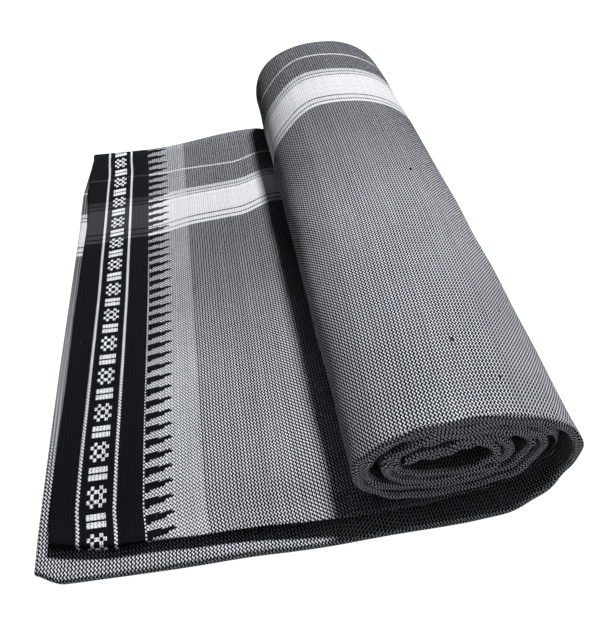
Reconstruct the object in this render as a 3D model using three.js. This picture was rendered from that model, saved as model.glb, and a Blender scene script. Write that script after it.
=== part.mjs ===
// A cotton lungi, folded into a long pad and partly rolled up from its right end.
//
// The folded pad is two leaves of eight plies each, joined by one rounded fold along the back
// and open at the front. It lies flat on the left, runs under the roll, climbs its right side
// and winds inwards for two and a half turns. Millimetres, +X towards the roll, +Y to the back,
// +Z up, with the origin under the middle of the part.

import * as THREE from "three";

// Sizes of the folded pad
const LENGTH = 260; // front to back, between the near and far sizes in the table of folds
const LEAF = 2.7; // thickness of eight plies
const SLIT = 0.3; // between the two leaves
const SEAM = 0.4; // between one stretch of a leaf and the next
const PAIR = 2 * LEAF + SLIT; // both leaves together
const UPPER_SET_BACK = 4; // the upper leaf's left edge from the lower leaf's
const ROUNDNESS = 2.2; // power of the roll's rounded corners, where 2 is an ellipse

// The folds that the pad's underside passes, from its left edge to its rolled-in end. Each row
// has the fold's x and z at the near end and at the far end of the roll, how far it bulges along
// x halfway between them, where the front edges of the lower and the upper leaf lie along y at
// that fold, and where the back fold lies.
const FOLDS = [
  { fold: "left edge", near: [-4.3, 0], far: [-3, 0], bulge: 0, lower: -9.8, upper: 0, back: 253 },
  { fold: "under the roll", near: [142, 0], far: [141, 0], bulge: 0, lower: -9.2, upper: 1.5, back: 258 },
  { fold: "right 1", near: [181.5, 22], far: [179.6, 28], bulge: 2.4, lower: -2.5, upper: 1.5, back: 262 },
  { fold: "top 1", near: [138, 49], far: [140, 60], bulge: 0.8, lower: 0.5, upper: 1.5, back: 264 },
  { fold: "left 1", near: [103, 27], far: [101.2, 31], bulge: 0, lower: 0, upper: 1, back: 264 },
  { fold: "bottom 2", near: [135, 6.4], far: [138, 6.4], bulge: 0, lower: -1, upper: 0.5, back: 262 },
  { fold: "right 2", near: [170, 26], far: [171, 31], bulge: 1, lower: 0, upper: 1.5, back: 261 },
  { fold: "top 2", near: [142, 42.6], far: [141, 51], bulge: 0, lower: 1, upper: 2, back: 261 },
  { fold: "left 2", near: [112, 28], far: [111, 32], bulge: 0, lower: 0.5, upper: 2, back: 261 },
  { fold: "bottom 3", near: [138, 13.2], far: [139, 14], bulge: 0, lower: 0, upper: 1, back: 260 },
  { fold: "right 3", near: [158.5, 24.5], far: [160, 29], bulge: 0, lower: 1, upper: 2, back: 260 },
  { fold: "top 3", near: [142, 36], far: [141, 42], bulge: 0, lower: 1.5, upper: 2, back: 259 },
  { fold: "rolled-in end", near: [120, 30.3], far: [119.5, 36], bulge: 0, lower: 1, upper: 2, back: 259 },
];

// The upper leaf arches up beside the roll, more at the back than at the front
const ARCH = { start: 30, crest: 97, end: 126, near: 3, far: 7 };

// The lower leaf's front left corner is turned in by this much, over this width
const CORNER = { depth: 4, width: 9 };

// Stretches of the pad, by the rows of the table that they run between, with steps for each row
const STRETCHES = [
  { name: "flat", from: 0, to: 1, steps: 16 },
  { name: "outer_turn", from: 1, to: 5, steps: 8 },
  { name: "second_turn", from: 5, to: 9, steps: 7 },
  { name: "inner_end", from: 9, to: 12, steps: 6 },
];

const ROWS_ACROSS = 5; // steps along Y on a leaf's broad faces
const ARC_STEPS = 4; // steps round a rounded edge

const COLOURS = { lower: 0x84868c, upper: 0x70737b };

const mix = (a, b, t) => a + (b - a) * t;
const clamp = (t) => Math.min(1, Math.max(0, t));
const smooth = (t) => clamp(t) ** 2 * (3 - 2 * clamp(t));

// The row before place u in the table, and how far u is on from it
function rowAt(u) {
  const k = Math.min(Math.floor(u), FOLDS.length - 2);
  return [k, u - k];
}

// A column of the table at place u, eased from row to row
function column(name, u) {
  const [k, t] = rowAt(u);
  return mix(FOLDS[k][name], FOLDS[k + 1][name], smooth(t));
}

// A fold's place at v, which runs from 0 at the near end to 1 at the far end
function foldPlace(row, v) {
  const bulge = row.bulge * 4 * v * (1 - v);
  return { x: mix(row.near[0], row.far[0], v) + bulge, z: mix(row.near[1], row.far[1], v) };
}

// The pad's underside at place u: straight on the flat and at the rolled-in end, and a rounded
// quarter from fold to fold in between, which leaves a top or bottom level and a side upright.
function underside(u, v) {
  const [k, t] = rowAt(u);
  const a = foldPlace(FOLDS[k], v);
  const b = foldPlace(FOLDS[k + 1], v);
  if (k === 0 || k === FOLDS.length - 2) return { x: mix(a.x, b.x, t), z: mix(a.z, b.z, t) };
  const angle = (t * Math.PI) / 2;
  const along = Math.sin(angle) ** (2 / ROUNDNESS);
  const away = 1 - Math.cos(angle) ** (2 / ROUNDNESS);
  const level = k % 2 === 1;
  return level
    ? { x: mix(a.x, b.x, along), z: mix(a.z, b.z, away) }
    : { x: mix(a.x, b.x, away), z: mix(a.z, b.z, along) };
}

// A point of the pad: at place u, at y from front to back, and height n above the underside,
// measured square to it and towards the inside of the roll
function padPoint(u, y, n) {
  const v = y / LENGTH;
  const step = 0.01;
  const here = underside(u, v);
  const before = underside(Math.max(0, u - step), v);
  const after = underside(Math.min(FOLDS.length - 1, u + step), v);
  const dx = after.x - before.x;
  const dz = after.z - before.z;
  const size = Math.hypot(dx, dz);
  return new THREE.Vector3(here.x - (n * dz) / size, y, here.z + (n * dx) / size);
}

// How far the upper leaf is lifted at place u, on the flat alone
function archLift(u, v) {
  if (u >= 1) return 0;
  const x = underside(u, v).x;
  const share = x < ARCH.crest
    ? smooth((x - ARCH.start) / (ARCH.crest - ARCH.start))
    : smooth((ARCH.end - x) / (ARCH.end - ARCH.crest));
  return mix(ARCH.near, ARCH.far, clamp(v)) * share;
}

// Half an ellipse of points from one side of a wall to the other, bulging along y by reach
function roundEdge(y, low, high, reach) {
  const points = [];
  for (let i = 0; i <= ARC_STEPS; i++) {
    const angle = (Math.PI * i) / ARC_STEPS;
    const n = mix(low, high, (1 - Math.cos(angle)) / 2);
    points.push([y + reach * Math.sin(angle), n]);
  }
  return points;
}

// Points at even steps between two values of y, without the two ends, at height n
function between(first, last, n) {
  const points = [];
  for (let i = 1; i < ROWS_ACROSS; i++) points.push([mix(first, last, i / ROWS_ACROSS), n]);
  return points;
}

// The lower leaf's section at place u: a rounded front edge, and a back fold that rises round
// the upper leaf's back. Pairs of y and n, anticlockwise seen from the path's start.
function lowerSection(u) {
  const x = underside(u, 0).x;
  const turnedIn = u < 1 ? CORNER.depth * (1 - smooth((x - FOLDS[0].near[0]) / CORNER.width)) : 0;
  const front = column("lower", u) + turnedIn + LEAF / 2;
  const back = column("back", u) - PAIR / 2;
  const top = PAIR + archLift(u, back / LENGTH);
  return [
    ...roundEdge(front, 0, LEAF, -LEAF / 2),
    ...between(front, back, LEAF),
    [back, LEAF],
    ...roundEdge(back, top, 0, PAIR / 2),
    ...between(back, front, 0),
  ];
}

// The upper leaf's section: a rounded front edge and a square back edge inside the back fold
function upperSection(u) {
  const front = column("upper", u) + LEAF / 2;
  const back = column("back", u) - PAIR / 2 - SLIT;
  const low = LEAF + SLIT;
  const section = [
    ...roundEdge(front, low, PAIR, -LEAF / 2),
    ...between(front, back, PAIR),
    [back, PAIR],
    [back, low],
    ...between(back, front, low),
  ];
  return section.map(([y, n]) => [y, n + archLift(u, y / LENGTH)]);
}

// How far along the pad one row of the table is at place u, in millimetres
function rowLength(u) {
  const span = 0.05;
  const a = underside(u, 0);
  const b = underside(u - span, 0);
  return Math.hypot(a.x - b.x, a.z - b.z) / span;
}

// Places along a stretch: a seam's width inside each end that meets another stretch, and a few
// narrowing steps where the leaf ends in a rounded edge. squeeze is how much of the thickness
// is left at that place.
function placesAlong({ from, to, steps }, start) {
  const places = [];
  const flatLength = rowLength(1);
  const endLength = rowLength(FOLDS.length - 1);
  const first = from === 0 ? start / flatLength : from;
  const count = from === 0 ? steps : steps * (to - from);
  const rounding = (edge, inward, length) => {
    for (let i = 1; i < ARC_STEPS; i++) {
      const angle = (Math.PI / 2) * (i / ARC_STEPS);
      const depth = (LEAF / 2) * (1 - Math.cos(angle));
      places.push({ u: edge + (inward * depth) / length, squeeze: Math.sin(angle) });
    }
  };
  const opens = from === 0 ? first + LEAF / 2 / flatLength : from;
  const closes = to === FOLDS.length - 1 ? to - LEAF / 2 / endLength : to - SEAM / rowLength(to);
  if (from === 0) rounding(first, 1, flatLength);
  for (let i = 0; i <= count; i++) places.push({ u: mix(opens, closes, i / count), squeeze: 1 });
  if (to === FOLDS.length - 1) {
    const ends = places.length;
    rounding(to, -1, endLength);
    places.push(...places.splice(ends).reverse());
  }
  return places;
}

// One closed solid: the leaf's section at each place, joined to the next, with an end cap at
// each end of the stretch
function leafStretch(name, stretch, sectionAt, middle, start, colour) {
  const places = placesAlong(stretch, start);
  const positions = [];
  const index = [];
  const sections = places.map(({ u }) => sectionAt(u));
  const sides = sections[0].length;
  places.forEach(({ u, squeeze }, i) => {
    for (const [y, n] of sections[i]) {
      const lift = middle > LEAF ? archLift(u, y / LENGTH) : 0;
      const centre = middle + lift;
      positions.push(...padPoint(u, y, centre + (n - centre) * squeeze).toArray());
    }
  });
  for (let i = 0; i + 1 < places.length; i++) {
    for (let k = 0; k < sides; k++) {
      const a = i * sides + k;
      const b = i * sides + ((k + 1) % sides);
      index.push(a, a + sides, b, b, a + sides, b + sides);
    }
  }
  const cap = (ring, turned) => {
    const outline = sections[ring].map(([y, n]) => new THREE.Vector2(y, n));
    for (const face of THREE.ShapeUtils.triangulateShape(outline, [])) {
      const corners = face.map((k) => ring * sides + k);
      index.push(...(turned ? corners.reverse() : corners));
    }
  };
  cap(0, true);
  cap(places.length - 1, false);
  const geometry = new THREE.BufferGeometry();
  geometry.setAttribute("position", new THREE.Float32BufferAttribute(positions, 3));
  geometry.setIndex(index);
  geometry.computeVertexNormals();
  const material = new THREE.MeshStandardMaterial({ color: colour, roughness: 0.9, metalness: 0 });
  const mesh = new THREE.Mesh(geometry, material);
  mesh.name = name;
  return mesh;
}

const lungi = new THREE.Group();
for (const stretch of STRETCHES) {
  const lowerName = "lower_leaf_" + stretch.name;
  const upperName = "upper_leaf_" + stretch.name;
  const upperMiddle = LEAF + SLIT + LEAF / 2;
  lungi.add(leafStretch(lowerName, stretch, lowerSection, LEAF / 2, 0, COLOURS.lower));
  lungi.add(leafStretch(upperName, stretch, upperSection, upperMiddle, UPPER_SET_BACK, COLOURS.upper));
}

// The origin goes to the middle of the underside
const box = new THREE.Box3().setFromObject(lungi);
const middle = box.getCenter(new THREE.Vector3());
for (const leaf of lungi.children) leaf.position.set(-middle.x, -middle.y, -box.min.z);

export default lungi;
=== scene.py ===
# %% [markdown]
# # A folded and partly rolled lungi
#
# A lungi is one length of handloom cotton, about two metres long. This one is folded into a
# long pad of two leaves, with eight plies in each, and the pad is rolled up from its right end.
# The packed model gives the frame: it is loaded first, and every piece here is made in its
# metres. The scene then adds what a plain solid can't show, which is the soft folds, the woven
# yarns, the black border with its figures, and the pale cross bands. Each part of the lesson
# first says what the real thing is, and then builds it.

import bmesh
import bpy
import numpy as np
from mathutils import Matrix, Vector


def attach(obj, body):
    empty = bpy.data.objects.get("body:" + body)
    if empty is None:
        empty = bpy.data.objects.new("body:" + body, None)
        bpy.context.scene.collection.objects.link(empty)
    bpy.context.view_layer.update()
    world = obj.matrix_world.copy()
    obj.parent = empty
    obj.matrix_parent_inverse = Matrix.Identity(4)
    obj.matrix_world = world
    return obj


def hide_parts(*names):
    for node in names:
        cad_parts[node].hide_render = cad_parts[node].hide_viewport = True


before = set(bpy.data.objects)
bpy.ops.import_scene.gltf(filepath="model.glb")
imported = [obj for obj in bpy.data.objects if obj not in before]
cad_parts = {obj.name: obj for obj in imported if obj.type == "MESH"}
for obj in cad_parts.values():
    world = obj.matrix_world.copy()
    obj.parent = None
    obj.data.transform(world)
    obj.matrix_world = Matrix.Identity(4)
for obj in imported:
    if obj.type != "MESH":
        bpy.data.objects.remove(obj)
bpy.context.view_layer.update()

# %% [markdown]
# ## The camera
#
# The camera stands in front of the open folds and looks down at the pad by about 45 degrees,
# turned a little towards the roll. Its place and its lens were solved from the straight edges
# of the border and the pad. The lens is given as a focal length in pixels of the photograph's
# frame, and Blender wants millimetres on a 36 mm sensor, so it is turned into those.

# %% The camera
FRAME_HEIGHT = 631
FOCAL_PIXELS = 622.77
SENSOR = 36.0
CAMERA_PLACE = (-0.0202, -0.2268, 0.2066)
LOOKS_DOWN = 45.45  # degrees below level
TURNED = -9.32  # degrees, towards the roll

lens = bpy.data.cameras.new("viewpoint")
lens.sensor_width = SENSOR
lens.lens = FOCAL_PIXELS * SENSOR / FRAME_HEIGHT
lens.clip_start = 0.01
camera = bpy.data.objects.new("viewpoint", lens)
camera.location = CAMERA_PLACE
camera.rotation_euler = np.radians((90 - LOOKS_DOWN, 0, TURNED))
bpy.context.scene.collection.objects.link(camera)
bpy.context.scene.camera = camera
print("lens in mm:", round(lens.lens, 2))

# %% [markdown]
# ## The path of the pad
#
# Rolled cloth follows one long path: flat on the ground, up the right side of the roll, over
# its top and down inside itself. A cloth simulation could roll a sheet up, but it would not
# stop at the turns of this one. A table of the folds that the path passes says it best, the
# same one that the solids were made from, in millimetres. Each row gives the fold's x and z at
# the near and the far end, its bulge halfway, and where the two leaves' front edges and the
# back fold lie along y. A smooth corner joins one fold to the next.

# %% The table of folds
FOLD_COLUMNS = ("near_x", "near_z", "far_x", "far_z", "bulge", "lower", "upper", "back")
FOLDS = {
    "left edge": (-4.3, 0, -3, 0, 0, -9.8, 0, 253),
    "under the roll": (142, 0, 141, 0, 0, -9.2, 1.5, 258),
    "right 1": (181.5, 22, 179.6, 28, 2.4, -2.5, 1.5, 262),
    "top 1": (138, 49, 140, 60, 0.8, 0.5, 1.5, 264),
    "left 1": (103, 27, 101.2, 31, 0, 0, 1, 264),
    "bottom 2": (135, 6.4, 138, 6.4, 0, -1, 0.5, 262),
    "right 2": (170, 26, 171, 31, 1, 0, 1.5, 261),
    "top 2": (142, 42.6, 141, 51, 0, 1, 2, 261),
    "left 2": (112, 28, 111, 32, 0, 0.5, 2, 261),
    "bottom 3": (138, 13.2, 139, 14, 0, 0, 1, 260),
    "right 3": (158.5, 24.5, 160, 29, 0, 1, 2, 260),
    "top 3": (142, 36, 141, 42, 0, 1.5, 2, 259),
    "rolled-in end": (120, 30.3, 119.5, 36, 0, 1, 2, 259),
}
COLUMN = {name: np.array([row[i] for row in FOLDS.values()], float)
          for i, name in enumerate(FOLD_COLUMNS)}
LAST = len(FOLDS) - 1
FLAT_END = COLUMN["near_x"][1]
LENGTH = 260  # front to back, between the near and the far sizes
ROUNDNESS = 2.2  # power of the rounded corners, where 2 is an ellipse
LEAF = 2.7  # thickness of eight plies
SLIT = 0.3  # between the two leaves
PAIR = 2 * LEAF + SLIT
UPPER_SET_BACK = 4  # the upper leaf's left edge from the lower leaf's
ORIGIN = np.array([89.335, 127.096, 0])  # the frame's origin, in the table's millimetres
print("folds:", len(FOLDS), "pad thickness:", PAIR, "mm")

# %% Along the path


def smooth(t):
    """0 before t = 0 and 1 after t = 1, with a soft start and end."""
    t = np.clip(t, 0, 1)
    return t * t * (3 - 2 * t)


def mix(a, b, t):
    return a + (b - a) * t


def fold_place(row, v):
    bulge = COLUMN["bulge"][row] * 4 * v * (1 - v)
    x = mix(COLUMN["near_x"][row], COLUMN["far_x"][row], v) + bulge
    return x, mix(COLUMN["near_z"][row], COLUMN["far_z"][row], v)


def underside(u, v):
    """x and z of the pad's underside at place u along it and share v of its length."""
    row = np.clip(np.floor(u).astype(int), 0, LAST - 1)
    t = u - row
    ax, az = fold_place(row, v)
    bx, bz = fold_place(row + 1, v)
    angle = np.clip(t, 0, 1) * np.pi / 2
    along = np.sin(angle) ** (2 / ROUNDNESS)
    away = 1 - np.clip(np.cos(angle), 0, 1) ** (2 / ROUNDNESS)
    straight = (row == 0) | (row == LAST - 1)
    level = row % 2 == 1
    x_share = np.where(straight, t, np.where(level, along, away))
    z_share = np.where(straight, t, np.where(level, away, along))
    return mix(ax, bx, x_share), mix(az, bz, z_share)


def column(name, u):
    """A column of the table at place u, eased from row to row."""
    row = np.clip(np.floor(u).astype(int), 0, LAST - 1)
    return mix(COLUMN[name][row], COLUMN[name][row + 1], smooth(u - row))


def pad_points(u, y, n):
    """Points at place u, at y, and n above the underside, square to it."""
    v = y / LENGTH
    step = 0.01
    x, z = underside(u, v)
    x0, z0 = underside(np.clip(u - step, 0, LAST), v)
    x1, z1 = underside(np.clip(u + step, 0, LAST), v)
    size = np.hypot(x1 - x0, z1 - z0)
    return np.stack([x - n * (z1 - z0) / size, y + 0 * n, z + n * (x1 - x0) / size], -1)


roll_top = pad_points(np.array([3.0]), np.array([0.0]), np.array([PAIR]))[0]
print("the roll's top fold at the near end, in mm:", np.round(roll_top, 1))

# %% [markdown]
# ## How the cloth lies
#
# Between its folds the cloth isn't even. The upper leaf arches up beside the roll, its front
# fold leans back over a dark slot, and the turns of the roll part here and there at the near
# end, which leaves the dark hollows between them. Sculpting could push them in, but nobody
# could read it back. So each of these is a soft hump with a centre and a reach, listed in
# short tables. Slow waves of a few sines keep long faces uneven.

# %% Humps, hollows and waves
ARCH = {"start": 30, "crest": 97, "end": 126, "near": 3, "far": 7, "front": 0.12}
# How far the upper leaf's front fold leans back, where along x it starts to, over what length
# it grows, and at which u it begins to end and how fast
UNDERCUT = {"depth": 8.5, "start": 18, "grows": 45, "end": 1.9, "ends": 0.6}

# The front edges where the pad lies flat, as x and y, how far the cloth near them is drawn to
# the right, and how far each left edge is drawn in at some places along y
FRONT_EDGE = {
    "lower": [(-4, -4.4), (1, -6.9), (5, -8.4), (27, -9.3), (50, -9.8), (80, -10.1), (142, -9.6)],
    "upper": [(1, 2.6), (11, 0.8), (21, -0.8), (33, -1.4), (48, -2.8), (66, -3.5), (85, -4.4),
              (110, -4.6), (128, -4), (142, -2.8)],
}
FRONT_PULL = {"lower": 0.4, "upper": 1.5}
LEFT_TRIM = {
    "lower": [(-9, 1), (0, 0.9), (40, 0.3), (80, 0), (180, 0), (198, -0.5), (214, -0.8),
              (232, 0.8), (256, 3.5)],
    "upper": [(0, 0.8), (60, 0.4), (120, 0.1), (170, 0.6), (185, 0.8), (198, -0.4), (214, -2.4),
              (230, -2.7), (247, -0.9), (256, -0.4)],
}

# Which leaf, place u, half width in u, how far it moves inwards, and its reach along y
PARTINGS = [
    ("upper", 2.45, 0.75, 2.2, 70),
    ("upper", 3.1, 0.5, 0.7, 60),
    ("upper", 0.58, 0.36, 0.6, 24),
    ("lower", 6.5, 0.6, 0.6, 60),
    ("upper", 6.5, 0.7, 1.0, 60),
    ("lower", 5.9, 0.35, 0.9, 40),
    ("upper", 5.9, 0.45, 1.3, 45),
    ("upper", 8.0, 0.45, 1.5, 50),
    ("lower", 8.0, 0.4, 0.9, 50),
    ("upper", 7.15, 0.3, 1.3, 45),
    ("lower", 7.6, 0.25, 1.0, 40),
    ("lower", 9.2, 0.4, 1.3, 40),
    ("upper", 9.6, 0.3, -1.0, 35),
    ("upper", 10.3, 0.7, 1.2, 60),
    ("lower", 10.8, 0.35, -1.1, 35),
    ("upper", 11.4, 0.35, 1.3, 35),
]
WAVE_COUNT = 5
WAVE_LENGTHS = (28, 75)  # the shortest and the longest
FULL_TURN = 6.28
print("partings:", len(PARTINGS))

# %% What moves the cloth


def arch_lift(u, v):
    """How far the upper leaf arches up beside the roll, least at its front edge."""
    x, _ = underside(u, v)
    rise = smooth((x - ARCH["start"]) / (ARCH["crest"] - ARCH["start"]))
    fall = smooth((ARCH["end"] - x) / (ARCH["end"] - ARCH["crest"]))
    share = np.where(x < ARCH["crest"], rise, fall) * smooth(v / ARCH["front"] + 0.35)
    return np.where(u < 1, mix(ARCH["near"], ARCH["far"], np.clip(v, 0, 1)) * share, 0)


def parting(leaf, u, y):
    """How far a leaf has moved towards the inside of the roll."""
    total = 0 * u
    for which, centre, half, move, reach in PARTINGS:
        if which == leaf:
            hump = smooth(1 - np.abs(u - centre) / half)
            total = total + move * hump * smooth(1 - np.clip(y, 0, None) / reach)
    return total


def waves(along, across, seed):
    """A slow, uneven wave between about -1 and 1."""
    dice = np.random.default_rng(seed)
    total = 0
    for _ in range(WAVE_COUNT):
        length = dice.uniform(*WAVE_LENGTHS, 2)
        turn = dice.uniform(0, 2 * np.pi, 2)
        total = total + np.sin(along / length[0] * FULL_TURN + turn[0]) * np.sin(
            across / length[1] * FULL_TURN + turn[1])
    return total / (WAVE_COUNT / 2)


crest_u = np.array((ARCH["crest"] - COLUMN["near_x"][0]) / (FLAT_END - COLUMN["near_x"][0]))
print("the arch's crest halfway back, in mm:", np.round(arch_lift(crest_u, 0.5), 1))

# %% [markdown]
# ## A leaf's section
#
# Cut across, each leaf is a long loop: the underside, a soft round fold at the front, and the
# top face. The lower leaf also carries the back fold, which closes round the upper one. A
# flat sheet with a Solidify modifier would give the thickness, but square edges in place of
# the folds. So the loops are lists of y and n, close together at the folds, where the light
# shows their curve, and further apart on the broad faces.

# %% Sections
FACE_ROWS = 72
FOLD_STEPS = 14
EVEN_SHARE = 0.25  # the share of a face whose rows are evenly spaced
CROWDING = 1.6  # how much the other rows crowd to the front
LIFT_OFF = 0.6  # how much of u the cloth takes to leave the ground, from u = 1


def front_edge(leaf, u):
    """y of a leaf's front edge at place u."""
    x, _ = underside(u, 0)
    on_flat = np.interp(np.where(u < 1, x, FLAT_END), *np.array(FRONT_EDGE[leaf]).T)
    return mix(on_flat, column(leaf, u), smooth((u - 1) / LIFT_OFF))


def face_rows(front, back):
    """Values of y from front to back, closer together near the front fold."""
    t = np.linspace(0, 1, FACE_ROWS)
    return mix(front, back, EVEN_SHARE * t + (1 - EVEN_SHARE) * t ** CROWDING)


def round_edge(y, low, high, reach):
    angle = np.pi * np.linspace(0, 1, FOLD_STEPS)
    return y + reach * np.sin(angle), mix(low, high, (1 - np.cos(angle)) / 2)


def undercut(u):
    """How far the upper leaf's front fold leans back at its lower side."""
    x, _ = underside(np.minimum(u, 1), 0)
    grown = smooth((x - UNDERCUT["start"]) / UNDERCUT["grows"])
    return UNDERCUT["depth"] * grown * (1 - smooth((u - UNDERCUT["end"]) / UNDERCUT["ends"]))


def puff(u, seed):
    """How much fuller than flat the front fold is, here and there along the leaf."""
    return 0.25 + 0.2 * waves(u * 60, u * 7, seed)


def lower_section(u):
    front = front_edge("lower", u) + LEAF / 2
    back = column("back", u) - PAIR / 2
    top = PAIR + arch_lift(u, back / LENGTH)
    fold_y, fold_n = round_edge(front, 0, LEAF, -LEAF / 2)
    back_y, back_n = round_edge(back, top, 0, PAIR / 2)
    rows = face_rows(front, back)
    y = np.concatenate([fold_y, rows[1:], back_y, rows[::-1][1:-1]])
    n = np.concatenate([fold_n, 0 * rows[1:] + LEAF, back_n, 0 * rows[1:-1]])
    return y, n, front, back


def upper_section(u):
    front = front_edge("upper", u) + LEAF / 2
    back = column("back", u) - PAIR / 2
    low, high = LEAF + SLIT, PAIR
    fold_y, fold_n = round_edge(front, low, high, -LEAF / 2)
    fold_y = fold_y + undercut(u) * (high - fold_n) / LEAF
    rows = face_rows(front, back)
    low_rows = face_rows(front + undercut(u), back)
    y = np.concatenate([fold_y, rows[1:], low_rows[::-1][:-1]])
    n = np.concatenate([fold_n, 0 * rows[1:] + high, 0 * rows[:-1] + low])
    lift = arch_lift(u, y / LENGTH)
    return y, n + lift, front, back


sample_y, sample_n, _, _ = lower_section(np.array(0.5))
print("points round the lower leaf:", len(sample_y), "highest:", round(sample_n.max(), 1), "mm")

# %% Places along the pad
RING_SPACING = 1.7
FINE_PLACES = 6001
MEASURED_AT = 0.3  # the share of the pad's length where the path is measured


def leaf_places(spacing):
    """Places u along the pad at even distances along its path."""
    fine = np.linspace(0, LAST, FINE_PLACES)
    x, z = underside(fine, MEASURED_AT)
    walked = np.concatenate([[0], np.cumsum(np.hypot(np.diff(x), np.diff(z)))])
    even = np.linspace(0, walked[-1], int(walked[-1] / spacing))
    return np.interp(even, walked, fine), walked[-1]


places, path_length = leaf_places(RING_SPACING)
print("path of the pad:", round(path_length), "mm in", len(places), "places")

# %% [markdown]
# ## From sections to a shell
#
# A leaf is its section drawn along the path, ring after ring. At its two ends the plies are
# seen edge on, eight of them. Eight thin sheets would show that too, at eight times the faces,
# and they would cut through each other in the roll. So the last rings shrink to the leaf's
# middle plane in steps, and each ply gets a small round edge of its own with its own set-back.
# Only the lower leaf's left end is one soft fold, with no ply showing.

# %% Ends of the plies
PLIES_EACH_SIDE = 4
RINGS_PER_PLY = 5
PLY_BULGE = 0.3
PLY_SET_BACK = 0.35


def folded_end(shrink):
    """How far a soft round fold stands out where the section has shrunk to this share."""
    return LEAF / 2 * np.sqrt(1 - shrink ** 2)


def ply_edge(shrink, y, seed):
    """How far the plies' edges stand out where the section has shrunk to this share."""
    depth = PLIES_EACH_SIDE * (1 - shrink)
    ply = np.floor(np.clip(depth, 0, PLIES_EACH_SIDE - 0.001))
    round_part = np.abs(np.sin(np.pi * depth)) ** 0.6
    uneven = np.sin(ply * 2.4 + seed) + 0.5 * np.sin(y / 23 + ply * 1.7 + seed)
    opening = smooth((1 - shrink) * PLIES_EACH_SIDE)
    return opening * (0.5 + PLY_SET_BACK * uneven) + PLY_BULGE * round_part


print("a ply's edge stands out at most", round(0.5 + 1.5 * PLY_SET_BACK + PLY_BULGE, 2), "mm")

# %% Soft relief of a leaf
FOLD_REACH = 8  # how far back from its edge the front fold is fuller
LOOSE_WAVE = 0.3  # on the roll's outside
TOP_WAVE = 0.22  # on the upper leaf's top face
MM_EACH_PLACE = 45  # about how long one step of u is
ROLLED_WOBBLE = 0.7  # of the front edge in the roll
LYING_WOBBLE = 0.35  # and where it lies flat


def soft_relief(leaf, u, y, n, front, middle):
    """Moves a section's points for the full front fold, the waves and the partings."""
    near_fold = smooth(1 - (y - front) / FOLD_REACH)
    fuller = puff(u, 3 if leaf == "lower" else 8) * near_fold
    lying = 1 - smooth((u - 1) / LIFT_OFF)
    base = mix(middle, middle - LEAF / 2, lying)
    n = base + (n - base) * (1 + fuller)
    outward = np.clip((n - middle) / (LEAF / 2), -1, 1)
    along = u * MM_EACH_PLACE
    if leaf == "lower":
        free = smooth((u - 1.1) / 0.5) * np.clip(-outward, 0, 1)
        n = n - LOOSE_WAVE * free * waves(along, y, 11)
    else:
        n = n + TOP_WAVE * np.clip(outward, 0, 1) * waves(along * 1.4, y, 21)
    wobble = waves(along * 2.2, 0 * y, 5 if leaf == "lower" else 6)
    wobble = mix(ROLLED_WOBBLE, LYING_WOBBLE, lying) * wobble
    return y + wobble * near_fold, n + parting(leaf, u, y)


print("waves on the roll's outside:", LOOSE_WAVE, "mm")

# %% Rings of a leaf
END_MARGIN = 0.9  # the first full ring's place from the leaf's left end
END_STEP = 0.02  # of u, to find which way an end faces


def end_facing(u, end):
    """The way out of a leaf's end at place u, as a unit vector."""
    x0, z0 = underside(np.array(max(u - END_STEP, 0)), MEASURED_AT)
    x1, z1 = underside(np.array(min(u + END_STEP, LAST)), MEASURED_AT)
    return np.array([x1 - x0, 0, z1 - z0]) * end / np.hypot(x1 - x0, z1 - z0)


def leaf_rings(leaf, section, first_u, seed):
    """All rings of a leaf as points in the table's millimetres."""
    middle_n = LEAF / 2 if leaf == "lower" else LEAF + SLIT + LEAF / 2
    inner = places[(places > first_u)]
    shrinks = np.linspace(0, 1, PLIES_EACH_SIDE * RINGS_PER_PLY + 1)[:-1]
    steps = [(first_u, c, -1) for c in shrinks] + [(first_u, 1, 0)]
    steps += [(u, 1, 0) for u in inner[:-1]]
    steps += [(LAST, 1, 0)] + [(LAST, c, 1) for c in shrinks[::-1]]
    rings = []
    for u, shrink, end in steps:
        at = np.array(float(u))
        y, n, front, back = section(at)
        u_here = at + 0 * y
        middle = middle_n + (arch_lift(u_here, y / LENGTH) if leaf == "upper" else 0)
        in_fold = (y > back - 0.01) & (leaf == "lower") & (n != 0)
        home_n = np.where(in_fold, PAIR / 2, middle)
        y, n = soft_relief(leaf, u_here, y, n, front, middle)
        if end:
            home_y = np.clip(y, front, back)
            y, n = home_y + (y - home_y) * shrink, home_n + (n - home_n) * shrink
        points = pad_points(u_here, y, n)
        if end:
            if leaf == "lower" and end == -1:
                reach = folded_end(shrink) + 0 * y
            else:
                reach = ply_edge(shrink, y, seed)
            points = points + reach[:, None] * end_facing(u, end)
        rings.append(points)
    return np.array(rings), np.array([u for u, _, _ in steps])


FLAT_ROW = FLAT_END - COLUMN["near_x"][0]
lower_start = END_MARGIN / FLAT_ROW
upper_start = (UPPER_SET_BACK + END_MARGIN) / FLAT_ROW
lower_rings, lower_u = leaf_rings("lower", lower_section, lower_start, 1)
upper_rings, upper_u = leaf_rings("upper", upper_section, upper_start, 2)
print("lower leaf rings:", lower_rings.shape, "upper leaf rings:", upper_rings.shape)

# %% [markdown]
# ## Where the yarns run
#
# In handloom cloth the yarns bend: the weft slants where the pad was pulled round the roll, and
# uneven beating brings the picks closer here and there. A plain unwrap would lose that. So each
# point gets two lengths in millimetres, how far it is along the pad and across it, measured on
# the cloth as it lies and then bent. A weave drawn in those two lengths keeps its yarns
# even round every fold.

# %% How the yarns bend
# At each y, how far uneven beating has brought the picks nearer the front
CLOSER_PICKS = [(99, 0), (117, 1.3), (135, 2.7), (152, 4.2), (169, 5.3), (187, 5.6),
                (206, 5.4), (226, 3.3), (247, 0), (265, -2)]


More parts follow.
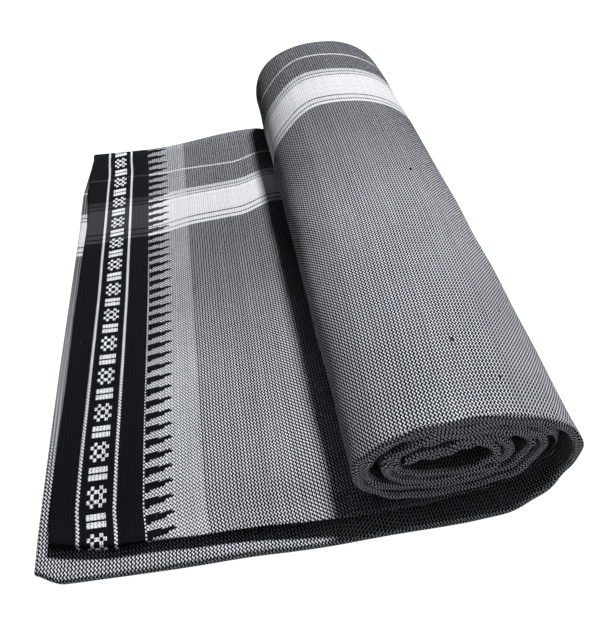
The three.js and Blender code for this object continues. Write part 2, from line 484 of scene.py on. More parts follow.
def weft_skew(along, y):
    """How far the weft slants towards the back as it nears the roll."""
    gentle = 6 * smooth((along - 30) / 40) * (1 - 0.8 * smooth((y - 180) / 40))
    steep = 10 * smooth((along - 80) / 25) * (1 - smooth((y - 215) / 40))
    hump = 2.2 * smooth((along - 8) / 15) * (1 - smooth((along - 50) / 20)) * smooth((y - 120) / 30)
    return gentle + steep + hump


def thin_line_rise(along, y):
    """How much further back than the broad band the thin line lies."""
    beside_roll = smooth((along - 60) / 30)
    return (2 * smooth((y - 208) / 8) * (1 - beside_roll)
            + 5 * smooth((y - 224) / 14) * beside_roll)


def border_shift(along, y):
    """How far the border's inner part has been pulled to the right."""
    inner = smooth((along + 2) / 8) * (1 - smooth((along - 44) / 12))
    return (0.4 + smooth((y - 30) / 100) - 0.9 * smooth((y - 225) / 20)) * inner


print("the weft's slant beside the roll:", round(weft_skew(110, 100), 1), "mm")

# %% Lengths along and across
FULL_RING = PLIES_EACH_SIDE * RINGS_PER_PLY
TOP_MIDDLE = FOLD_STEPS + FACE_ROWS // 2
LIP = FOLD_STEPS + FACE_ROWS - 1


def lengths_along(rings, ring_places, middle_n):
    """How far each point is along the cloth, measured on the leaf's middle plane."""
    rows = np.linspace(0, LENGTH, 6)
    u, y = np.meshgrid(ring_places, rows, indexing="ij")
    steps = np.linalg.norm(np.diff(pad_points(u, y, middle_n + 0 * y), axis=0), axis=2)
    walked = np.concatenate([0 * steps[:1], np.cumsum(steps, axis=0)])
    along = np.array([np.interp(ring[:, 1], rows, row) for ring, row in zip(rings, walked)])
    along = along - along[FULL_RING] + rings[FULL_RING, :, 0]
    round_end = np.linalg.norm(np.diff(rings[:FULL_RING + 1], axis=0), axis=2)
    along[:FULL_RING] = along[FULL_RING] - np.cumsum(round_end[::-1], axis=0)[::-1]
    return along


def lengths_round(rings):
    steps = np.linalg.norm(np.roll(rings, -1, axis=1) - rings, axis=2)
    return np.concatenate([0 * steps[:, :1], np.cumsum(steps, axis=1)], axis=1)


def yarn_lengths(rings, ring_places, middle_n, anchor):
    """Lengths along and across the cloth, with one more column where a loop closes."""
    along = lengths_along(rings, ring_places, middle_n)
    along = np.concatenate([along, along[:, :1]], axis=1)
    across = -lengths_round(rings)
    across = across - across[:, anchor:anchor + 1] + rings[:, anchor:anchor + 1, 1]
    return along, across


upper_along, upper_across = yarn_lengths(
    upper_rings, upper_u, LEAF + SLIT + LEAF / 2, TOP_MIDDLE)
upper_across = 2 * upper_across[:, TOP_MIDDLE:TOP_MIDDLE + 1] - upper_across
upper_y = np.concatenate([upper_rings, upper_rings[:, :1]], axis=1)[..., 1]
upper_across = upper_across - weft_skew(upper_along, upper_y)
upper_bands = upper_across - thin_line_rise(upper_along, upper_y)
upper_across = upper_across + np.interp(upper_y, *np.array(CLOSER_PICKS).T)
upper_along = upper_along - border_shift(upper_along, upper_y)
print("yarns run to", np.round(upper_along.max()), "mm along the upper leaf")

# %% Lengths on the lower leaf
ROLL_SHIFT = 30  # the roll's outer face shows the bands this much further back
FAR_SHIFT = 3  # less of that at its far end
LEFT_SHIFT = 9  # and on its left side
UNDER_SHIFT = 5  # the bands on the face under the upper leaf lie this much further front

lower_along, lower_across = yarn_lengths(lower_rings, lower_u, LEAF / 2, LIP)
lower_across = 2 * lower_across[:, LIP:LIP + 1] - lower_across
lower_y = np.concatenate([lower_rings, lower_rings[:, :1]], axis=1)[..., 1]
number = np.arange(lower_across.shape[1])
on_top_face = (number >= FOLD_STEPS - 2) & (number < LIP)
on_flat = (lower_u < 1)[:, None] & (number >= LIP) & (number < LIP + FOLD_STEPS)
left_side = smooth((lower_u - 3.2) / 0.5)[:, None]
on_roll = lower_y - ROLL_SHIFT + FAR_SHIFT * smooth((lower_y - 225) / 21) + LEFT_SHIFT * left_side
on_rest = np.where(on_flat, lower_y, on_roll)
lower_bands = np.where(on_top_face, lower_y + UNDER_SHIFT, on_rest)
print("yarns run to", np.round(lower_along.max()), "mm along the lower leaf")

# %% Edges drawn in
EDGE_REACH = 15  # how far back from the front edge the cloth follows it
for leaf, rings, ring_places in (("lower", lower_rings, lower_u), ("upper", upper_rings, upper_u)):
    near_front = smooth(1 - (rings[..., 1] - front_edge(leaf, ring_places)[:, None]) / EDGE_REACH)
    rings[..., 0] += FRONT_PULL[leaf] * near_front * smooth(1 - ring_places)[:, None]
    trim = np.interp(rings[..., 1], *np.array(LEFT_TRIM[leaf]).T)
    rings[..., 0] += trim * smooth(1 - 12 * ring_places)[:, None]
    print(leaf, "leaf's left end at the middle:", np.round(rings[0, LIP // 2, 0], 1), "mm")

# %% [markdown]
# ## The leaves as meshes
#
# Each ring of points is joined to the next by four-sided faces. The two lengths are written as
# UV maps, because a pattern on those follows the cloth. The shrunken end rings are merged
# afterwards, so that each leaf is one closed skin.

# %% From rings to a mesh


def leaf_mesh(name, rings, along, across, bands):
    """A closed mesh in metres, with the yarn lengths and the band lengths as UV maps."""
    count, sides, _ = rings.shape
    i, k = np.meshgrid(np.arange(count - 1), np.arange(sides), indexing="ij")
    after = (k + 1) % sides
    faces = np.stack([i * sides + k, i * sides + after,
                      (i + 1) * sides + after, (i + 1) * sides + k], -1).reshape(-1, 4)
    corners_i = np.stack([i, i, i + 1, i + 1], -1).reshape(-1)
    corners_k = np.stack([k, k + 1, k + 1, k], -1).reshape(-1)
    mesh = bpy.data.meshes.new(name)
    mesh.from_pydata(((rings.reshape(-1, 3) - ORIGIN) / 1000).tolist(), [], faces.tolist())
    yarns = np.stack([along[corners_i, corners_k], across[corners_i, corners_k]], -1)
    mesh.uv_layers.new(name="yarns").data.foreach_set("uv", yarns.ravel())
    cross = np.stack([bands[corners_i, corners_k], 0 * bands[corners_i, corners_k]], -1)
    mesh.uv_layers.new(name="bands").data.foreach_set("uv", cross.ravel())
    return mesh, i.ravel(), k.ravel()


upper_mesh, _, _ = leaf_mesh("upper_leaf", upper_rings, upper_along, upper_across, upper_bands)
lower_mesh, face_ring, face_side = leaf_mesh(
    "lower_leaf", lower_rings, lower_along, lower_across, lower_bands)
on_back_fold = (lower_u[face_ring] < 1) & (face_side >= LIP) & (face_side < LIP + FOLD_STEPS)
lower_mesh.polygons.foreach_set("material_index", on_back_fold.astype(np.int32))
print("faces on the back fold:", on_back_fold.sum())

# %% Closed pieces
MERGE_DISTANCE = 1e-6


def closed_piece(name, mesh):
    """Merges the shrunken end rings, turns the faces outwards and smooths them."""
    work = bmesh.new()
    work.from_mesh(mesh)
    bmesh.ops.remove_doubles(work, verts=work.verts, dist=MERGE_DISTANCE)
    bmesh.ops.recalc_face_normals(work, faces=work.faces)
    open_edges = sum(1 for edge in work.edges if len(edge.link_faces) != 2)
    work.to_mesh(mesh)
    work.free()
    mesh.polygons.foreach_set("use_smooth", [True] * len(mesh.polygons))
    piece = bpy.data.objects.new(name, mesh)
    bpy.context.scene.collection.objects.link(piece)
    print(name, len(mesh.polygons), "faces,", open_edges, "edges not shared by two faces")
    return piece


upper_leaf = closed_piece("upper_leaf", upper_mesh)
lower_leaf = closed_piece("lower_leaf", lower_mesh)

# %% [markdown]
# ## Arithmetic for the materials
#
# The woven pattern is arithmetic on the two yarn lengths, and in Blender each sum is a Math
# node. Wiring hundreds of them by hand is slow to read. A small class lets those sums be
# written as ordinary Python, so a formula can be read as a formula. A group is built once and
# placed in each material with its own values.

# %% Wires


class Wire:
    """A value in a node tree. Sums with it make Math nodes."""

    def __init__(self, tree, socket):
        self.tree = tree
        self.socket = socket

    def math(self, operation, *others):
        node = self.tree.nodes.new("ShaderNodeMath")
        node.operation = operation
        for socket, value in zip(node.inputs, (self, *others)):
            connect(self.tree, value, socket)
        return Wire(self.tree, node.outputs[0])

    def __add__(self, other):
        return self.math("ADD", other)

    def __sub__(self, other):
        return self.math("SUBTRACT", other)

    def __mul__(self, other):
        return self.math("MULTIPLY", other)

    def __truediv__(self, other):
        return self.math("DIVIDE", other)

    __radd__ = __add__
    __rmul__ = __mul__

    def __rsub__(self, other):
        return self * -1 + other

    def floor(self):
        return self.math("FLOOR")

    def remainder(self, size):
        return self.math("FLOORED_MODULO", size)

    def soft_step(self, low, high):
        """0 below low and 1 above high, smooth between."""
        node = self.tree.nodes.new("ShaderNodeMapRange")
        node.interpolation_type = "SMOOTHSTEP"
        connect(self.tree, self, node.inputs["Value"])
        connect(self.tree, low, node.inputs["From Min"])
        connect(self.tree, high, node.inputs["From Max"])
        return Wire(self.tree, node.outputs["Result"])

    def between(self, low, high, edge=0.08):
        """1 from low to high, with soft edges."""
        rise = self.soft_step(low - edge, low + edge)
        return rise * (1 - self.soft_step(high - edge, high + edge))


def connect(tree, value, socket):
    if isinstance(value, Wire):
        tree.links.new(value.socket, socket)
    else:
        socket.default_value = value


print("a wire can:", ", ".join(name for name in vars(Wire) if not name.startswith("_")))

# %% Noise and groups


def pair(x, y):
    """Two wires as one vector."""
    node = x.tree.nodes.new("ShaderNodeCombineXYZ")
    connect(x.tree, x, node.inputs[0])
    connect(x.tree, y, node.inputs[1])
    return Wire(x.tree, node.outputs[0])


def noise(x, y, detail=1.0):
    """Soft noise from about 0 to 1, one lump for each whole step of x and y."""
    node = x.tree.nodes.new("ShaderNodeTexNoise")
    node.noise_dimensions = "2D"
    node.inputs["Scale"].default_value = 1.0
    node.inputs["Detail"].default_value = detail
    connect(x.tree, pair(x, y), node.inputs["Vector"])
    return Wire(x.tree, node.outputs["Fac"])


def chance(x, y):
    """An even chance from 0 to 1 for each pair of whole numbers."""
    node = x.tree.nodes.new("ShaderNodeTexWhiteNoise")
    node.noise_dimensions = "2D"
    connect(x.tree, pair(x, y), node.inputs["Vector"])
    return Wire(x.tree, node.outputs["Value"])


def new_group(name, inputs, outputs):
    """A shader group with named number sockets: its tree, its input wires and its output."""
    tree = bpy.data.node_groups.new(name, "ShaderNodeTree")
    for label, value in inputs.items():
        socket = tree.interface.new_socket(
            name=label, in_out="INPUT", socket_type="NodeSocketFloat")
        socket.default_value = value
    for label in outputs:
        tree.interface.new_socket(name=label, in_out="OUTPUT", socket_type="NodeSocketFloat")
    entry = tree.nodes.new("NodeGroupInput")
    end = tree.nodes.new("NodeGroupOutput")
    return tree, {label: Wire(tree, entry.outputs[label]) for label in inputs}, end


def place_group(tree, group, **values):
    """A group in a tree, with its inputs given by name, an underscore for each space."""
    node = tree.nodes.new("ShaderNodeGroup")
    node.node_tree = group
    for label, value in values.items():
        connect(tree, value, node.inputs[label.replace("_", " ")])
    return {socket.name: Wire(tree, socket) for socket in node.outputs}


def set_inputs(node, values):
    for label, value in values.items():
        node.inputs[label].default_value = value


print("helpers for groups: new_group, place_group and set_inputs")

# %% [markdown]
# ## The weave
#
# A plain weave has warp ends that run front to back and weft picks that cross them, over one
# and under the next. Real yarns as meshes would be hundreds of thousands, and a checkerboard
# would look like print. So each yarn is a round ridge that rises and dips along a cosine, and
# at any point the higher of the two is the one that is seen. That one rule gives the small
# rice-grain shapes of the real cloth. The ends stand in pairs, as the reed spaced them, and
# every yarn wanders and varies a little, as on a handloom.

# %% Plain weave
END_PITCH = 0.61  # between warp ends
PICK_PITCH = 0.765  # between weft picks
REED_PAIR = 0.16  # how far two ends of a pair lean together
PAIR_STAGGER = 0.05  # how far the picks shift up on one end of a pair and down on the other
CRIMP = 1.0  # rise and dip of a yarn against its own height
WARP_SLIMNESS = 7  # a slim ridge leaves dark gaps beside it
WEFT_SLIMNESS = 4
END_UNEVEN = 0.8  # how far thick and thin places decide which yarn is seen
PICK_UNEVEN = 0.6

weave, wire, end = new_group(
    "plain weave", {"Along": 0, "Across": 0, "Warp lead": 0, "Wander": 0.5},
    ("Warp on top", "Relief", "Yarn tone"))
drift_along = (noise(wire["Along"] / 24, wire["Across"] / 30) - 0.5) * wire["Wander"]
drift_across = (noise(wire["Along"] / 31 + 40, wire["Across"] / 19) - 0.5) * wire["Wander"]
ends = (wire["Along"] + drift_along) / END_PITCH
end_number = ends.floor()
side = 1 - end_number.remainder(2) * 2
picks = (wire["Across"] + drift_across + side * PAIR_STAGGER) / PICK_PITCH
pick_number = picks.floor()
from_end = ends - end_number - 0.5 - side * REED_PAIR
from_pick = picks - pick_number - 0.5
crossing = 1 - (end_number + pick_number).remainder(2) * 2


def yarn_ridge(offset, slimness):
    """Height of a round yarn at an offset from its middle."""
    return (1 - (offset * offset) * slimness).math("MAXIMUM", 0).math("SQRT")


end_slub = noise(end_number * 7.3, wire["Across"] / 9, 2) - 0.5
pick_slub = noise(wire["Along"] / 9, pick_number * 5.7, 2) - 0.5
warp_dip = crossing * (from_pick * np.pi).math("COSINE") * CRIMP
weft_dip = crossing * (from_end * np.pi).math("COSINE") * CRIMP
warp_height = yarn_ridge(from_end, WARP_SLIMNESS) + warp_dip
weft_height = yarn_ridge(from_pick, WEFT_SLIMNESS) - weft_dip
ahead = warp_height - weft_height + wire["Warp lead"]
ahead = ahead + end_slub * END_UNEVEN - pick_slub * PICK_UNEVEN
on_top = ahead.soft_step(-0.1, 0.1)
relief = warp_height.math("MAXIMUM", weft_height)
tone = chance(end_number, 3) * on_top + chance(pick_number, 8) * (1 - on_top)
weave.links.new(on_top.socket, end.inputs["Warp on top"])
weave.links.new(relief.socket, end.inputs["Relief"])
weave.links.new(tone.socket, end.inputs["Yarn tone"])
print("yarns in each centimetre:", round(10 / END_PITCH), "by", round(10 / PICK_PITCH))

# %% [markdown]
# ## The cross bands
#
# Near one end of the cloth the weaver changed to white weft. The result is one broad white
# band with two pairs of fine lines beside it, and a single thin line further on. Over the grey
# ground the white picks show fully. Over the black border the dense warp hides them, and only
# a smooth dark grey trace is left. The bands are a mask along the cloth's own length, so both
# leaves take them from one short table.

# %% Cross bands
BAND_START = 170.5
BAND_EDGE = 0.2
# Start and end in millimetres from the broad band's front edge, and how white
BANDS = [
    (-7.4, -5.2, 1.0),
    (-4.2, -1.1, 0.95),
    (0.0, 21.0, 1.0),
    (21.9, 24.1, 0.75),
    (25.0, 28.3, 0.55),
    (47.6, 48.8, 0.75),
]
cross_bands, wire, end = new_group("cross bands", {"Across": 0}, ("White weft",))
white_weft = wire["Across"] * 0
for start, stop, strength in BANDS:
    here = wire["Across"].between(BAND_START + start, BAND_START + stop, BAND_EDGE)
    white_weft = white_weft + here * strength
cross_bands.links.new(white_weft.socket, end.inputs["White weft"])
print("band lines:", len(BANDS))

# %% [markdown]
# ## The border
#
# The border is a stripe of dense black warp. Extra white ends make its figures: two fine white
# lines, and between them a chain of four-petalled flowers with a pair of bars between one
# flower and the next. On the body's side the black ends in a row of temple points, the oldest
# ornament of this kind of cloth. The chain's repeat of 24 picks and the points' repeat of 8 are
# charted as rows of text, one for each pick, which is how a weaver would note them down.
# An image would blur close by. In the group each row is one binary number instead, and a
# division by a power of two gives its column.

# %% Charts of the border
CHAIN_LEFT = 20 * END_PITCH
CHAIN_START = 9 * PICK_PITCH
BAR = ["###########"] * 3
PETALS = ["..##...##.."]
HEARTS = ["##..###..##"]
CHAIN = (BAR + ["..........."] + BAR + ["..........."] * 3 + PETALS * 2 + HEARTS * 2
         + PETALS * 3 + HEARTS * 2 + PETALS * 2 + ["..........."] * 3)
POINT_LEFT = 52 * END_PITCH
POINT_START = 4.5 * PICK_PITCH
POINT = [
    "..................",
    "..................",
    "####..............",
    "#############.....",
    "##################",
    "################..",
    "#########.........",
    "..................",
]
FINE_LINES = (14, 35)  # the first end of each two
ROPE_SHIFT = 20.4  # from here on the pairs start one end later
STRIPE_END = 53.8
print("chain repeat in mm:", round(len(CHAIN) * PICK_PITCH, 1))

# %% Masks of the border
POINT_SLANT = (0.03, 0.07)  # picks for each end, at the front and further back
SHARP = 0.03

border, wire, end = new_group(
    "border", {"Along": 0, "Across": 0}, ("White warp", "Warp lead", "Shift", "Dense"))
along = wire["Along"]
across = wire["Across"]


def chart_mask(chart, left, start, slant=0):
    """1 where a chart has its mark, with its first column at left and its first row at start."""
    column_number = ((along - left) / END_PITCH).floor()
    row_place = (across - start) / PICK_PITCH - column_number * slant
    row_number = row_place.remainder(len(chart)).floor()
    row_value = along * 0
    for number, text in enumerate(chart):
        value = sum(2 ** i for i, mark in enumerate(text) if mark == "#")
        if value:
            row_value = row_value + row_number.math("COMPARE", number, 0.5) * value
    power = (along * 0 + 2).math("POWER", column_number)
    inside = (column_number + 0.5).between(0, len(chart[0]), 0.01)
    return (row_value / power).floor().remainder(2) * inside


figure = chart_mask(CHAIN, CHAIN_LEFT, CHAIN_START)
point = chart_mask(POINT, POINT_LEFT, POINT_START, mix(*POINT_SLANT, across.soft_step(10, 110)))
solid = 1 - along.soft_step(POINT_LEFT - 0.05, POINT_LEFT + 0.05)
black = solid.math("MAXIMUM", point)
stripe = along.between(POINT_LEFT, STRIPE_END, 1.2)
lines = along * 0
for first in FINE_LINES:
    lines = lines + along.between(first * END_PITCH, (first + 2) * END_PITCH, SHARP)
dots = along.between(POINT_LEFT, POINT_LEFT + END_PITCH, SHARP)
dots = dots * (1 - across.soft_step(105, 160))
print("nodes for the masks:", len(border.nodes))

# %% The order of the warp
# Which yarn leads on each ground: above 1 it is nearly all warp, at 0 warp and weft alike
BODY_LEAD = -0.45
STRIPE_LEAD = 0.85
BLACK_LEAD = 2.6
DOTS_LEAD = -0.2
LINES_LEAD = (1.05, 1.4)  # at the front and further back
FIGURE_LEAD = 1.95
BODY_DIMMING = 0.52  # how much darker the white warp is towards the back
STRIPE_DIMMING = 0.2

dimming = across.soft_step(30, 150) * mix(BODY_DIMMING, STRIPE_DIMMING, stripe)
plain = (1 - black) * (1 - dimming)
white_warp = plain.math("MAXIMUM", figure.math("MAXIMUM", lines.math("MAXIMUM", dots)))
dark_ends = along.between(54.0, 54.3, 0.3) * (1 - across.soft_step(40, 120))
patches = noise(along / 16, across / 45, 2) - 0.5
fade = across.soft_step(45, 150)
lead = mix(BODY_LEAD - fade * 0.45 - dark_ends * 0.5, STRIPE_LEAD - fade * 0.5, stripe)
lead = lead + patches * (1.4 - fade * 0.6)
lead = mix(lead, lead * 0 + BLACK_LEAD, black)
lead = mix(lead, lead * 0 + DOTS_LEAD, dots)
lead = mix(lead, mix(*LINES_LEAD, across.soft_step(25, 90)), lines)
lead = mix(lead, lead * 0 + FIGURE_LEAD, figure)
border.links.new(white_warp.socket, end.inputs["White warp"])
border.links.new(lead.socket, end.inputs["Warp lead"])
border.links.new((black - black * figure.math("MAXIMUM", lines)).socket, end.inputs["Dense"])
border.links.new((along.soft_step(ROPE_SHIFT, ROPE_SHIFT + 0.01) * END_PITCH).socket,
                 end.inputs["Shift"])
print("nodes in the border:", len(border.nodes))

# %% [markdown]
# ## Two cotton finishes
#
# Both leaves are the same cotton: white and blue-black yarns with a dull, slightly hairy
# surface. Only the upper leaf and the back fold show the border's ground. The colour is the
# yarn that lies on top, with painted shade that darkens it down in the gaps between yarns.
# Displacement would need far more faces than the export takes, so the same relief drives a
# bump, and a little sheen stands for the short fibres.

# %% Yarn colours
WHITE_WARP = (0.88, 0.915, 0.965)
WHITE_WEFT = (0.76, 0.733, 0.765)
BLACK_WEFT = (0.017, 0.019, 0.032)
BLACK_WARP = (0.006, 0.0075, 0.0105)
COTTON_SURFACE = {"Roughness": 0.88, "Specular IOR Level": 0.05, "Sheen Weight": 0.01,
                  "Sheen Roughness": 0.5}
YARN_BUMP = {"Strength": 0.6, "Distance": 0.00016}


def colour_mix(tree, share, first, second):
    """Blends two colours, each a colour or a node's output."""
    node = tree.nodes.new("ShaderNodeMix")
    node.data_type = "RGBA"
    connect(tree, share, node.inputs[0])
    for value, socket in ((first, node.inputs[6]), (second, node.inputs[7])):
        if isinstance(value, bpy.types.NodeSocket):
            tree.links.new(value, socket)
        else:
            socket.default_value = (*value, 1)
    return node.outputs[2]


def uv_parts(tree, name):
    uv = tree.nodes.new("ShaderNodeUVMap")
    uv.uv_map = name
    parts = tree.nodes.new("ShaderNodeSeparateXYZ")
    tree.links.new(uv.outputs["UV"], parts.inputs[0])
    return Wire(tree, parts.outputs[0]), Wire(tree, parts.outputs[1])


print("the white warp is", round(WHITE_WARP[1] / BLACK_WARP[1]), "times as bright as the black")

# %% Cotton materials
GREY_DIMMING = (0.48, 0.14)  # of the white warp, towards the back and past the bands
WEFT_THROUGH = 0.05  # how much white weft shows through the dense border
PAINTED_GAP_SHADE = 0.08  # painted shade: how bright the colour is made down between the yarns
PAINTED_BAND_SHADE = 0.86  # painted shade on a white band, where the yarns lie closer
BAND_EVENNESS = 0.7


def cotton(name, bordered, body_lead):
    material = bpy.data.materials.new(name)
    material.use_nodes = True
    tree = material.node_tree
    shader = tree.nodes["Principled BSDF"]
    along, across = uv_parts(tree, "yarns")
    band, _ = uv_parts(tree, "bands")
    weft = place_group(tree, cross_bands, Across=band)["White weft"]
    if bordered:
        pattern = place_group(tree, border, Along=along, Across=across)
        white_warp, lead = pattern["White warp"], pattern["Warp lead"]
        dense = pattern["Dense"]
        along = along + pattern["Shift"]
    else:
        patches = noise(along / 16, across / 45, 2) - 0.5
        fade = band.soft_step(60, 165)
        far = band.soft_step(160, 215)
        white_warp = 1 - fade * GREY_DIMMING[0] - far * GREY_DIMMING[1]
        dense = along * 0
        lead = body_lead - fade * 0.5 + patches * 1.3
    cloth = place_group(tree, weave, Along=along, Across=across, Warp_lead=lead)
    weft_colour = colour_mix(tree, weft, BLACK_WEFT, WHITE_WEFT)
    undimmed = mix(white_warp, white_warp.soft_step(0.1, 0.4), weft.soft_step(0, 0.6))
    undimmed = undimmed + dense * weft * WEFT_THROUGH
    warp_colour = colour_mix(tree, undimmed, BLACK_WARP, WHITE_WARP)
    yarn = colour_mix(tree, cloth["Warp on top"], weft_colour, warp_colour)
    # Painted shade: the colour darkens from each yarn's crown down into the gaps between yarns,
    # following the relief that also drives the bump, and is made more even on the white bands
    shade = cloth["Relief"].soft_step(0.3, 1.25) * (1 - PAINTED_GAP_SHADE) + PAINTED_GAP_SHADE
    shade = mix(shade, shade * 0 + PAINTED_BAND_SHADE, weft * BAND_EVENNESS)
    shade = shade * (cloth["Yarn tone"] * 0.22 + 0.84)
    final = colour_mix(tree, shade, (0, 0, 0), yarn)
    tree.links.new(final, shader.inputs["Base Color"])
    set_inputs(shader, COTTON_SURFACE)
    bump = tree.nodes.new("ShaderNodeBump")
    set_inputs(bump, YARN_BUMP)
    tree.links.new(cloth["Relief"].socket, bump.inputs["Height"])
    tree.links.new(bump.outputs["Normal"], shader.inputs["Normal"])
    return material


bordered_cotton = cotton("bordered_cotton", True, 0)
grey_cotton = cotton("grey_cotton", False, -0.3)
upper_leaf.data.materials.append(bordered_cotton)
lower_leaf.data.materials.append(grey_cotton)
lower_leaf.data.materials.append(bordered_cotton)
print("finishes:", [m.name for m in bpy.data.materials if m.name.endswith("cotton")])

# %% [markdown]
# ## Slubs
#
# Hand-spun yarn has short thick places, called slubs, that show as small dark specks. They could
# be spots in the colour, but a real slub stands up from the cloth and casts a shadow. They fall
# anywhere, so Geometry Nodes scatters them: points on the leaf's faces that don't look down, a
# small lump on each, lying along the warp, and each a size of its own. The seed is fixed, so
# they fall in the same places every time. The result is baked to a plain mesh.

# %% The tree that scatters slubs
SLUB_VALUES = {"Slubs per square metre": 260.0, "Length": 0.002, "Thickness": 0.0007}
SMALLEST_SLUB = 0.5  # of that length and thickness
LARGEST_SLUB = 1.2
LOOKS_TO_FLOOR = -0.5  # faces whose normal's z is below this have none


def place_node(tree, kind, settings=None, **values):
    """A geometry node with its inputs given by name, an underscore for each space."""
    node = tree.nodes.new(kind)
    for name, value in (settings or {}).items():
        setattr(node, name, value)
    for label, value in values.items():
        socket = next(s for s in node.inputs if s.name == label.replace("_", " ") and s.enabled)
        if isinstance(value, bpy.types.NodeSocket):
            tree.links.new(value, socket)
        else:
            socket.default_value = value
    return node


scatter = bpy.data.node_groups.new("scatter slubs", "GeometryNodeTree")
for label, kind in (("Leaf", "Geometry"), ("Slubs per square metre", "Float"), ("Seed", "Int"),
                    ("Length", "Float"), ("Thickness", "Float"), ("Finish", "Material")):
    scatter.interface.new_socket(name=label, in_out="INPUT", socket_type="NodeSocket" + kind)
scatter.interface.new_socket(name="Slubs", in_out="OUTPUT", socket_type="NodeSocketGeometry")
entry = scatter.nodes.new("NodeGroupInput").outputs
facing = place_node(scatter, "ShaderNodeSeparateXYZ",
                    Vector=scatter.nodes.new("GeometryNodeInputNormal").outputs[0])
off_floor = place_node(scatter, "FunctionNodeCompare", {"operation": "GREATER_THAN"},
                       A=facing.outputs["Z"], B=LOOKS_TO_FLOOR)
spread = place_node(scatter, "GeometryNodeDistributePointsOnFaces", Mesh=entry["Leaf"],
                    Selection=off_floor.outputs["Result"],
                    Density=entry["Slubs per square metre"], Seed=entry["Seed"])
upright = place_node(scatter, "FunctionNodeAlignRotationToVector", {"axis": "Z"},
                     Vector=spread.outputs["Normal"])
turned = place_node(scatter, "FunctionNodeAlignRotationToVector",
                    {"axis": "Y", "pivot_axis": "Z"},
                    Rotation=upright.outputs[0], Vector=(0, 1, 0))
lump = place_node(scatter, "GeometryNodeMeshIcoSphere", Radius=0.5, Subdivisions=2)
shape = place_node(scatter, "ShaderNodeCombineXYZ", X=entry["Thickness"], Y=entry["Length"],
                   Z=entry["Thickness"])
size = place_node(scatter, "FunctionNodeRandomValue", Min=SMALLEST_SLUB, Max=LARGEST_SLUB,
                  Seed=entry["Seed"])
sized = place_node(scatter, "ShaderNodeVectorMath", {"operation": "SCALE"},
                   Vector=shape.outputs[0], Scale=size.outputs[1])
placed = place_node(scatter, "GeometryNodeInstanceOnPoints", Points=spread.outputs["Points"],
                    Instance=lump.outputs["Mesh"], Rotation=turned.outputs[0],
                    Scale=sized.outputs[0])
real = place_node(scatter, "GeometryNodeRealizeInstances", Geometry=placed.outputs[0])
smoothed = place_node(scatter, "GeometryNodeSetShadeSmooth", Geometry=real.outputs[0])
finished = place_node(scatter, "GeometryNodeSetMaterial", Geometry=smoothed.outputs[0],
                      Material=entry["Finish"])
scatter.links.new(finished.outputs[0], scatter.nodes.new("NodeGroupOutput").inputs[0])
print("nodes in the scatter tree:", len(scatter.nodes))

# %% Slubs on both leaves
SLUB_SURFACE = {"Roughness": 0.9, "Specular IOR Level": 0.1}
SLUB_DARK = (0.012, 0.013, 0.022)
SLUB_PALE = (0.12, 0.12, 0.14)
SLUB_SEEDS = {lower_leaf: 4, upper_leaf: 7}


def slub_finish():
    """Blue-black twisted cotton, with paler strands."""
    material = bpy.data.materials.new("slub_cotton")
    material.use_nodes = True
    tree = material.node_tree
    shader = tree.nodes["Principled BSDF"]
    place = tree.nodes.new("ShaderNodeTexCoord").outputs["Object"]
    strands = place_node(tree, "ShaderNodeTexNoise", Vector=place, Scale=2600, Detail=2)
    tone = Wire(tree, strands.outputs["Fac"]).soft_step(0.45, 0.75)
    tree.links.new(colour_mix(tree, tone, SLUB_DARK, SLUB_PALE), shader.inputs["Base Color"])
    set_inputs(shader, SLUB_SURFACE)
    return material


def scatter_on(leaf, seed, finish):
    piece = bpy.data.objects.new(leaf.name + "_slubs", leaf.data.copy())
    bpy.context.scene.collection.objects.link(piece)
    modifier = piece.modifiers.new("slubs", "NODES")
    modifier.node_group = scatter
    values = {**SLUB_VALUES, "Seed": seed, "Finish": finish}
    for item in scatter.interface.items_tree:
        if item.name in values:
            modifier[item.identifier] = values[item.name]
    graph = bpy.context.evaluated_depsgraph_get()
    baked = bpy.data.meshes.new_from_object(piece.evaluated_get(graph), depsgraph=graph)
    piece.modifiers.clear()
    piece.data = baked
    print(piece.name, len(baked.polygons), "faces")
    return piece


dark_slubs = slub_finish()
slubs = [scatter_on(leaf, seed, dark_slubs) for leaf, seed in SLUB_SEEDS.items()]

# %% [markdown]
# ## The leaves in place of the packed nodes
#
# The packed nodes stay in the model, hidden: each leaf hides the four stretches of its own
# name and hangs from the root body in their place. The slubs hide no node and hang from the
# root body too.

# %% Pieces of the part
STRETCHES = ("flat", "outer_turn", "second_turn", "inner_end")
for leaf, name, slot in ((lower_leaf, "lower_leaf", "grey_cotton"),
                         (upper_leaf, "upper_leaf", "bordered_cotton")):
    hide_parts(*[name + "_" + stretch for stretch in STRETCHES])
    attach(leaf, "root")
for piece in slubs:
    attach(piece, "root")
print("pieces:", [piece.name for piece in (lower_leaf, upper_leaf, *slubs)])

# %% [markdown]
# ## Floor and light
#
# The pad lies on a plain white floor. In a studio the floor is lit until it is pure white. Here
# it glows for the camera alone, so that it throws little light back up at the cloth.

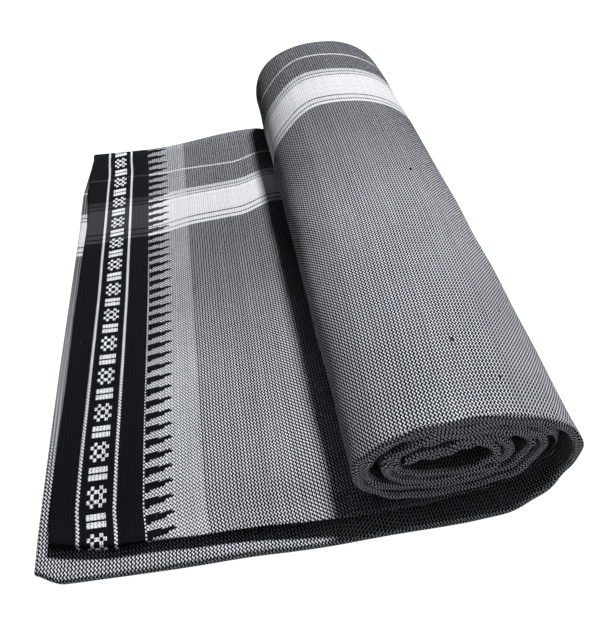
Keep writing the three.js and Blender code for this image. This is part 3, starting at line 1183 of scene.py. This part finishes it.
# %% Floor
FLOOR_HALF = 3
FLOOR_BOUNCE = 0.25
FLOOR_GLOW = 1
floor_mesh = bpy.data.meshes.new("floor")
corners = [(x * FLOOR_HALF, y * FLOOR_HALF, 0) for x, y in ((-1, -1), (1, -1), (1, 1), (-1, 1))]
floor_mesh.from_pydata(corners, [], [(0, 1, 2, 3)])
floor = bpy.data.objects.new("floor", floor_mesh)
bpy.context.scene.collection.objects.link(floor)
pale = bpy.data.materials.new("pale_floor")
pale.use_nodes = True
pale_shader = pale.node_tree.nodes["Principled BSDF"]
set_inputs(pale_shader, {
    "Base Color": (FLOOR_BOUNCE, FLOOR_BOUNCE, FLOOR_BOUNCE, 1),
    "Roughness": 1,
    "Specular IOR Level": 0,
    "Emission Color": (1, 1, 1, 1),
})
seen = Wire(pale.node_tree, pale.node_tree.nodes.new("ShaderNodeLightPath").outputs[0])
connect(pale.node_tree, seen * FLOOR_GLOW, pale_shader.inputs["Emission Strength"])
floor_mesh.materials.append(pale)
print("floor:", 2 * FLOOR_HALF, "m wide")

# %% [markdown]
# ## Lamps and sky
#
# One lamp stands above and behind, a little to the right, so the tops are bright, the front
# folds fall into shade and the flat cloth left of the roll is shadowed. One big lamp in front
# would show more of the roll's end, but it would also light the slots between the leaves. So
# two weak lamps, one overhead and one low in front, and a dim sky fill the rest.

# %% Lamps and sky
# Place, what it points at, width and power
LAMPS = {
    "key": ((0.3, 0.78, 1.0), (0, 0, 0), 0.2, 26),
    "overhead": ((-0.1, 0.1, 1.4), (0, 0, 0), 1.0, 0.5),
    "low front": ((0.1, -1.25, 0.05), (0, 0, 0.03), 0.3, 2.5),
}
SKY = {"Color": (0.95, 0.97, 1.0, 1), "Strength": 0.025}


def area_lamp(name, place, target, size, power):
    lamp = bpy.data.lights.new(name, "AREA")
    lamp.shape = "DISK"
    lamp.size = size
    lamp.energy = power
    thing = bpy.data.objects.new(name, lamp)
    thing.location = place
    thing.rotation_euler = (Vector(target) - Vector(place)).to_track_quat("-Z", "Y").to_euler()
    bpy.context.scene.collection.objects.link(thing)


for name, row in LAMPS.items():
    area_lamp(name, *row)
sky = bpy.data.worlds.new("sky")
sky.use_nodes = True
set_inputs(sky.node_tree.nodes["Background"], SKY)
bpy.context.scene.world = sky
bpy.context.scene.view_settings.view_transform = "Standard"
print("lamps:", len(LAMPS))

# %% [markdown]
# ## A last update
#
# The view layer is updated once more.

# %% A last update
bpy.context.view_layer.update()
